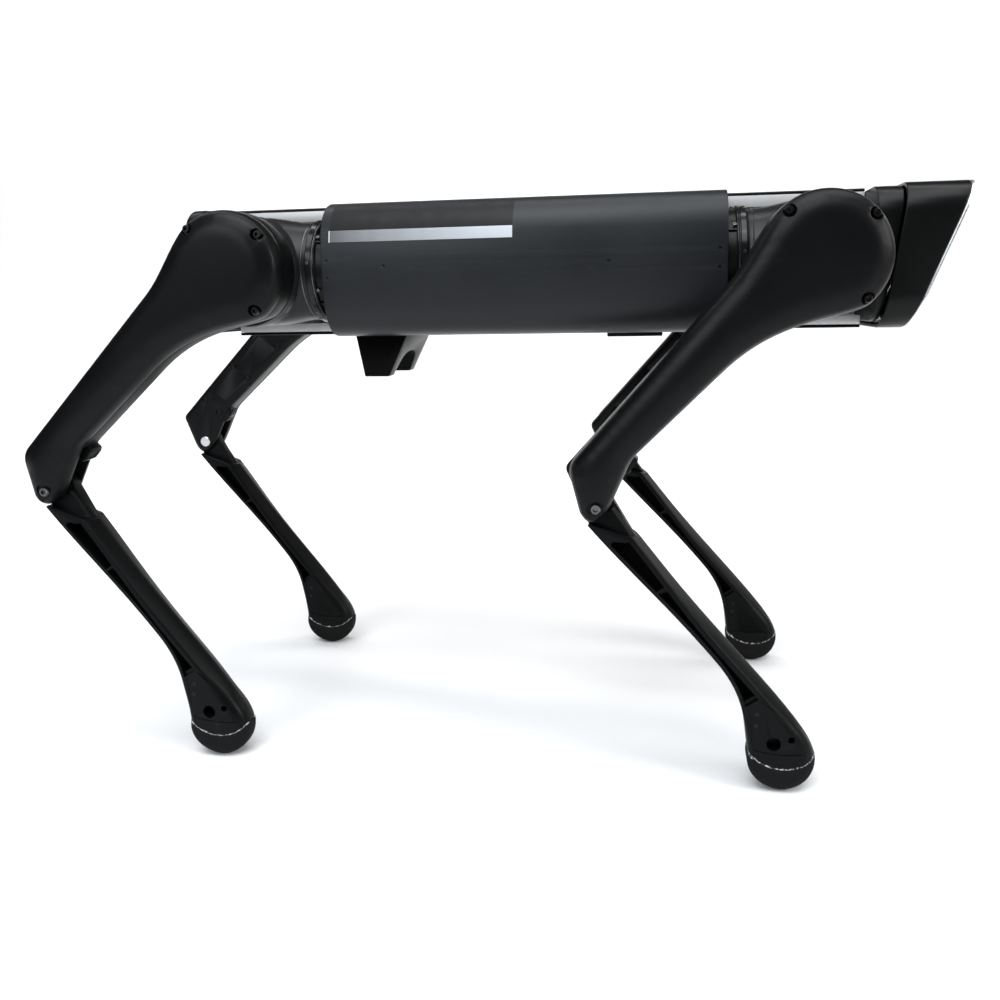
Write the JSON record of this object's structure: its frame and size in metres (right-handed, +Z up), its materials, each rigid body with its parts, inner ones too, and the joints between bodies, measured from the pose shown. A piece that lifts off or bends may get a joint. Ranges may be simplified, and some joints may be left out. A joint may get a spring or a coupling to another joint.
{
  "type": "quadruped robot dog",
  "caption": "Four-legged walking robot with a narrow rounded trunk, slanted visor head, sideways-tilting hips, swinging thighs and rod-driven knees on rubber-soled feet.",
  "frame": {"origin": "middle of the box that holds the standing robot, on the floor between its feet", "axes": "+X forward, towards the head; +Y to the robot's left; +Z up"},
  "size_m": [0.7668, 0.302, 0.4755],
  "materials": {
    "cover_plastic": "satin dark grey moulded cover",
    "trunk_plastic": "satin black moulded plastic",
    "leg_plastic": "fine matte black moulded plastic",
    "dark_alloy": "black anodised satin",
    "calf_alloy": "dark grey satin",
    "bare_alloy": "bare brushed",
    "motor_shell": "glossy black anodised",
    "steel": "turned bright steel",
    "sole_rubber": "matte dark grey rubber, worn at the rim",
    "visor": "glossy near-black"
  },
  "bodies": {
    "trunk": {"spine_frame": "bare_alloy", "top_deck": "trunk_plastic", "bottom_plate": "trunk_plastic", "side_cover_left": "cover_plastic", "side_cover_right": "cover_plastic", "front_bulkhead": "dark_alloy", "rear_bulkhead": "dark_alloy", "head_shell": "trunk_plastic", "head_rim": "bare_alloy", "head_visor": "visor", "head_sensors": "dark_alloy", "rear_cap": "trunk_plastic", "battery_pack": "leg_plastic", "control_computer": "leg_plastic", "belly_stand": "trunk_plastic", "belly_hatch": "leg_plastic", "front_right_abduction_motor": "motor_shell", "front_left_abduction_motor": "motor_shell", "rear_right_abduction_motor": "motor_shell", "rear_left_abduction_motor": "motor_shell"},
    "front_right_hip": {"front_right_hip_housing": "dark_alloy", "front_right_thigh_motor": "motor_shell"},
    "front_right_thigh": {"front_right_thigh_frame": "leg_plastic", "front_right_thigh_shell": "leg_plastic", "front_right_knee_motor": "motor_shell", "front_right_knee_pin": "steel"},
    "front_right_crank": {"front_right_knee_crank": "steel"},
    "front_right_rod": {"front_right_knee_rod": "bare_alloy"},
    "front_right_calf": {"front_right_calf": "calf_alloy", "front_right_foot_sole": "sole_rubber"},
    "front_left_hip": {"front_left_hip_housing": "dark_alloy", "front_left_thigh_motor": "motor_shell"},
    "front_left_thigh": {"front_left_thigh_frame": "leg_plastic", "front_left_thigh_shell": "leg_plastic", "front_left_knee_motor": "motor_shell", "front_left_knee_pin": "steel"},
    "front_left_crank": {"front_left_knee_crank": "steel"},
    "front_left_rod": {"front_left_knee_rod": "bare_alloy"},
    "front_left_calf": {"front_left_calf": "calf_alloy", "front_left_foot_sole": "sole_rubber"},
    "rear_right_hip": {"rear_right_hip_housing": "dark_alloy", "rear_right_thigh_motor": "motor_shell"},
    "rear_right_thigh": {"rear_right_thigh_frame": "leg_plastic", "rear_right_thigh_shell": "leg_plastic", "rear_right_knee_motor": "motor_shell", "rear_right_knee_pin": "steel"},
    "rear_right_crank": {"rear_right_knee_crank": "steel"},
    "rear_right_rod": {"rear_right_knee_rod": "bare_alloy"},
    "rear_right_calf": {"rear_right_calf": "calf_alloy", "rear_right_foot_sole": "sole_rubber"},
    "rear_left_hip": {"rear_left_hip_housing": "dark_alloy", "rear_left_thigh_motor": "motor_shell"},
    "rear_left_thigh": {"rear_left_thigh_frame": "leg_plastic", "rear_left_thigh_shell": "leg_plastic", "rear_left_knee_motor": "motor_shell", "rear_left_knee_pin": "steel"},
    "rear_left_crank": {"rear_left_knee_crank": "steel"},
    "rear_left_rod": {"rear_left_knee_rod": "bare_alloy"},
    "rear_left_calf": {"rear_left_calf": "calf_alloy", "rear_left_foot_sole": "sole_rubber"}
  },
  "joints": [
    {"name": "front_right_abduction", "type": "hinge", "parent": "trunk", "child": "front_right_hip", "pos_m": [0.26383, -0.062, 0.41776], "axis": [-1, 0, 0], "range_deg": [-12, 40]},
    {"name": "front_right_thigh_swing", "type": "hinge", "parent": "front_right_hip", "child": "front_right_thigh", "pos_m": [0.26383, -0.1245, 0.41776], "axis": [0, -1, 0], "range_deg": [-48.5, 71.5]},
    {"name": "front_right_knee", "type": "hinge", "parent": "front_right_thigh", "child": "front_right_calf", "pos_m": [0.09785, -0.1245, 0.23081], "axis": [0, 1, 0], "range_deg": [-82, 42]},
    {"name": "front_right_crank_turn", "type": "hinge", "parent": "front_right_thigh", "child": "front_right_crank", "pos_m": [0.26383, -0.1245, 0.41776], "axis": [0, 1, 0], "range_deg": [-83, 43]},
    {"name": "front_right_rod_turn", "type": "hinge", "parent": "front_right_crank", "child": "front_right_rod", "pos_m": [0.25406, -0.1245, 0.43636], "axis": [0, 1, 0], "range_deg": [-43, 83]},
    {"name": "front_left_abduction", "type": "hinge", "parent": "trunk", "child": "front_left_hip", "pos_m": [0.26383, 0.062, 0.41776], "axis": [1, 0, 0], "range_deg": [-12, 40]},
    {"name": "front_left_thigh_swing", "type": "hinge", "parent": "front_left_hip", "child": "front_left_thigh", "pos_m": [0.26383, 0.1245, 0.41776], "axis": [0, -1, 0], "range_deg": [-48.5, 71.5]},
    {"name": "front_left_knee", "type": "hinge", "parent": "front_left_thigh", "child": "front_left_calf", "pos_m": [0.09785, 0.1245, 0.23081], "axis": [0, 1, 0], "range_deg": [-82, 42]},
    {"name": "front_left_crank_turn", "type": "hinge", "parent": "front_left_thigh", "child": "front_left_crank", "pos_m": [0.26383, 0.1245, 0.41776], "axis": [0, 1, 0], "range_deg": [-83, 43]},
    {"name": "front_left_rod_turn", "type": "hinge", "parent": "front_left_crank", "child": "front_left_rod", "pos_m": [0.25406, 0.1245, 0.43636], "axis": [0, 1, 0], "range_deg": [-43, 83]},
    {"name": "rear_right_abduction", "type": "hinge", "parent": "trunk", "child": "rear_right_hip", "pos_m": [-0.19497, -0.062, 0.41776], "axis": [-1, 0, 0], "range_deg": [-12, 40]},
    {"name": "rear_right_thigh_swing", "type": "hinge", "parent": "rear_right_hip", "child": "rear_right_thigh", "pos_m": [-0.19497, -0.1245, 0.41776], "axis": [0, -1, 0], "range_deg": [-135.5, 52.5]},
    {"name": "rear_right_knee", "type": "hinge", "parent": "rear_right_thigh", "child": "rear_right_calf", "pos_m": [-0.36801, -0.1245, 0.23732], "axis": [0, 1, 0], "range_deg": [-82, 41]},
    {"name": "rear_right_crank_turn", "type": "hinge", "parent": "rear_right_thigh", "child": "rear_right_crank", "pos_m": [-0.19497, -0.1245, 0.41776], "axis": [0, 1, 0], "range_deg": [-83, 43]},
    {"name": "rear_right_rod_turn", "type": "hinge", "parent": "rear_right_crank", "child": "rear_right_rod", "pos_m": [-0.20386, -0.1245, 0.43679], "axis": [0, 1, 0], "range_deg": [-43, 83]},
    {"name": "rear_left_abduction", "type": "hinge", "parent": "trunk", "child": "rear_left_hip", "pos_m": [-0.19497, 0.062, 0.41776], "axis": [1, 0, 0], "range_deg": [-12, 40]},
    {"name": "rear_left_thigh_swing", "type": "hinge", "parent": "rear_left_hip", "child": "rear_left_thigh", "pos_m": [-0.19497, 0.1245, 0.41776], "axis": [0, -1, 0], "range_deg": [-135.5, 52.5]},
    {"name": "rear_left_knee", "type": "hinge", "parent": "rear_left_thigh", "child": "rear_left_calf", "pos_m": [-0.36801, 0.1245, 0.23732], "axis": [0, 1, 0], "range_deg": [-82, 41]},
    {"name": "rear_left_crank_turn", "type": "hinge", "parent": "rear_left_thigh", "child": "rear_left_crank", "pos_m": [-0.19497, 0.1245, 0.41776], "axis": [0, 1, 0], "range_deg": [-83, 43]},
    {"name": "rear_left_rod_turn", "type": "hinge", "parent": "rear_left_crank", "child": "rear_left_rod", "pos_m": [-0.20386, 0.1245, 0.43679], "axis": [0, 1, 0], "range_deg": [-43, 83]}
  ],
  "couplings": [
    {"joint": "front_right_crank_turn", "follows": "front_right_knee", "ratio": 1},
    {"joint": "front_right_rod_turn", "follows": "front_right_knee", "ratio": -1},
    {"joint": "front_left_crank_turn", "follows": "front_left_knee", "ratio": 1},
    {"joint": "front_left_rod_turn", "follows": "front_left_knee", "ratio": -1},
    {"joint": "rear_right_crank_turn", "follows": "rear_right_knee", "ratio": 1},
    {"joint": "rear_right_rod_turn", "follows": "rear_right_knee", "ratio": -1},
    {"joint": "rear_left_crank_turn", "follows": "rear_left_knee", "ratio": 1},
    {"joint": "rear_left_rod_turn", "follows": "rear_left_knee", "ratio": -1}
  ]
}
